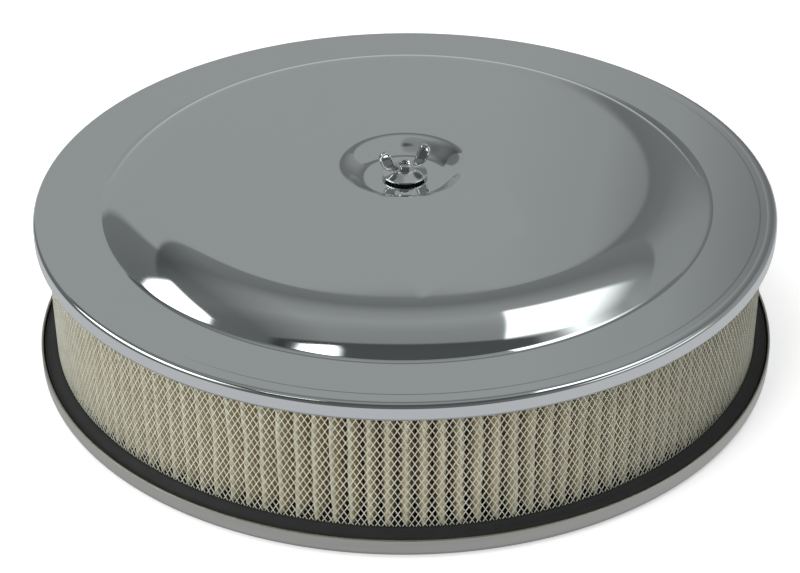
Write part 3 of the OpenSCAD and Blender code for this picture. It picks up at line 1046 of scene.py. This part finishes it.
# %% Seam clip
# The clip that closes the paper ring is a plain folded channel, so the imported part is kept
clip = frame["nodes"]["media_seam_clip"]
clip.data.materials.clear()
clip.data.materials.append(screen_wire)
print("seam clip keeps its packed shape")

# %% [markdown]
# ## Stud, grommet and washer
# The stud is a rod with a rolled thread at each end. A thread is a wave along the rod that is
# turned by one pitch for each turn round it, so the turning helper makes it when the radius is
# allowed to depend on the height and on the angle. The nut's bore uses the same wave.

# %% Thread
PITCH = 1.27
THREAD_DEPTH = 0.62
THREAD_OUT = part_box("centre_stud")[1][0] / MM - 0.06


def thread_depth(z, angle, first, last):
    """How far the thread's groove cuts in at that place, fading out over a turn at both ends."""
    phase = (z / PITCH - angle / (2 * math.pi)) % 1.0
    wave = min(1.0, max(0.0, 1.35 * (1 - abs(2 * phase - 1)) - 0.15))
    fade = min(1.0, max(0.0, (z - first) / PITCH), max(0.0, (last - z) / PITCH))
    return THREAD_DEPTH * wave * fade


def stations(start, end, step):
    """Evenly spaced heights from start to end."""
    count = math.ceil(abs(end - start) / step)
    return [start + (end - start) * i / count for i in range(count + 1)]


# %% Stud
STUD_CHAMFER = 0.8
LOWER_THREAD = 19.0
stud_low, stud_high = foot("centre_stud") / MM, top("centre_stud") / MM
stud_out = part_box("centre_stud")[1][0] / MM
upper_foot = dimple_z - 0.3
stud_section = [(0, stud_low), (THREAD_OUT - STUD_CHAMFER, stud_low)]
stud_section += [(THREAD_OUT, z) for z in stations(stud_low + STUD_CHAMFER, stud_low + LOWER_THREAD, PITCH / 8)]
stud_section += [(stud_out, stud_low + LOWER_THREAD + 0.4), (stud_out, upper_foot - 0.2)]
stud_section += [(THREAD_OUT, z) for z in stations(upper_foot, stud_high - STUD_CHAMFER, PITCH / 8)]
stud_section += [(THREAD_OUT - STUD_CHAMFER, stud_high), (0, stud_high)]


def stud_shape(r, z, angle):
    if r < THREAD_OUT - 0.01 or r > THREAD_OUT + 0.01:
        return r
    if z < stud_low + LOWER_THREAD + 0.1:
        return r - thread_depth(z, angle, stud_low - PITCH, stud_low + LOWER_THREAD)
    return r - thread_depth(z, angle, upper_foot, stud_high + PITCH)


stud_mesh = turned_mesh("threaded_stud", stud_section, 32, 6.0, stud_shape)
place(link("threaded_stud", stud_mesh, stud_steel), "lid", "stud_steel", "centre_stud")

# %% Grommet and washer
WASHER_BORE_R = 3.3
GROMMET_LIP = 1.4
grommet_low = foot("stud_grommet") / MM
flange_out = reach("stud_grommet") / MM
under = dimple_z - LID_T
grommet_section = [
    (stud_out, dimple_z), (grommet_r, dimple_z), (grommet_r, under), (flange_out, under),
    (flange_out, under - GROMMET_LIP), (grommet_r, under - GROMMET_LIP), (stud_out + 0.8, grommet_low),
    (stud_out, grommet_low),
]
grommet_mesh = turned_mesh("rubber_grommet", softened(grommet_section, 0.4), 96)
place(link("rubber_grommet", grommet_mesh, gasket_rubber), "lid", "gasket_rubber", "stud_grommet")

washer_out, washer_top = reach("sealing_washer") / MM, top("sealing_washer") / MM
washer_section = [(WASHER_BORE_R, dimple_z), (washer_out, dimple_z), (washer_out, washer_top),
                  (WASHER_BORE_R, washer_top)]
washer_mesh = turned_mesh("rubber_washer", softened(washer_section, 0.45), 96)
place(link("rubber_washer", washer_mesh, gasket_rubber), "washer", "gasket_rubber", "sealing_washer")

# %% [markdown]
# ## Wing nut
# A forged nut: a conical flange, a short hub and two ears whose faces are pressed in, which
# leaves a raised border. Each ear is lofted from its outline through a few scaled copies, then
# softened by subdivision, and a union with the turned body makes one closed solid.

# %% Nut body
FLANGE_EDGE = 0.8
CONE_H = 2.2
BODY_H = 6.0
HUB_TOP_R = 3.9
HUB_FOOT_R = 4.8
BORE_R = 2.58
FLANGE_R = 10.9
nut_z = washer_top
nut_section = [
    (BORE_R + 0.5, nut_z), (FLANGE_R, nut_z), (FLANGE_R, nut_z + FLANGE_EDGE),
    (HUB_FOOT_R + 0.6, nut_z + CONE_H), (HUB_FOOT_R - 0.1, nut_z + CONE_H + 0.5),
    (HUB_TOP_R, nut_z + BODY_H), (BORE_R + 0.5, nut_z + BODY_H),
]
nut_section += [(BORE_R, z) for z in stations(nut_z + BODY_H - 0.5, nut_z + 0.4, PITCH / 8)]


def nut_shape(r, z, angle):
    """The bore's groove follows the stud's crests, so that the two threads mesh."""
    if abs(r - BORE_R) > 0.001:
        return r
    return r + THREAD_DEPTH - thread_depth(z, angle, nut_z - 2 * PITCH, nut_z + BODY_H + 2 * PITCH)


body_mesh = turned_mesh("nut_body", softened(nut_section, 0.35), 64, 2.0, nut_shape)
print("nut body:", len(body_mesh.polygons), "faces")

# %% Ears
WING_T = 2.0
WING_ANGLE = 22
RECESS = 0.45


def ear_outline():
    """Outline of an ear in its own plane: radius, and height above the nut's foot."""
    hub = nut_z + BODY_H
    return [(r, hub + up) for r, up in (
        (3.4, -2.6), (3.9, -1.4), (5.4, 0.2), (6.4, 3.4), (7.9, 6.9), (9.0, 8.1), (10.5, 8.35), (12.1, 7.5),
        (13.25, 5.6), (13.1, 3.8), (12.2, 1.2), (10.3, -1.8), (8.2, -2.9), (5.0, -3.3))]


def ear_mesh(name, turn):
    outline = ear_outline()
    middle = (9.4, nut_z + BODY_H + 2.9)
    half = WING_T / 2
    layers = [(0.3, RECESS - half), (0.66, RECESS - half), (0.74, RECESS - half), (0.78, -half), (0.92, -half),
              (0.98, -half * 0.8), (1.0, -half * 0.4)]
    layers += [(scale, -y) for scale, y in reversed(layers)]
    verts, faces, count = [], [], len(outline)
    for scale, y in layers:
        for r, z in outline:
            r, z = middle[0] + scale * (r - middle[0]), middle[1] + scale * (z - middle[1])
            verts.append((r * MM, y * MM, z * MM))
    for k in range(len(layers) - 1):
        for i in range(count):
            j = (i + 1) % count
            faces.append((k * count + i, k * count + j, (k + 1) * count + j, (k + 1) * count + i))
    faces += [tuple(range(count))[::-1], tuple(range(len(verts) - count, len(verts)))]
    mesh = bpy.data.meshes.new(name)
    mesh.from_pydata(verts, [], faces)
    mesh.transform(Matrix.Rotation(math.radians(turn), 4, "Z"))
    tidied(mesh)
    return mesh


# %% Union of body and ears
def joined_nut():
    body = link("forged_nut", body_mesh, nut_chrome)
    for k in (0, 1):
        ear = link(f"ear_{k}", ear_mesh(f"ear_{k}", WING_ANGLE + 180 * k), nut_chrome)
        soften = ear.modifiers.new("soften", "SUBSURF")
        soften.levels = soften.render_levels = 2
        cut = body.modifiers.new(f"union_{k}", "BOOLEAN")
        cut.operation, cut.solver, cut.object = "UNION", "EXACT", ear
    bpy.context.view_layer.update()
    result = bpy.data.meshes.new_from_object(body.evaluated_get(bpy.context.evaluated_depsgraph_get()))
    for name in ("forged_nut", "ear_0", "ear_1"):
        bpy.data.objects.remove(bpy.data.objects[name])
    result.name = "forged_nut"
    return result


nut = link("forged_nut", joined_nut(), nut_chrome)
place(nut, "nut", "nut_chrome", "wing_nut")
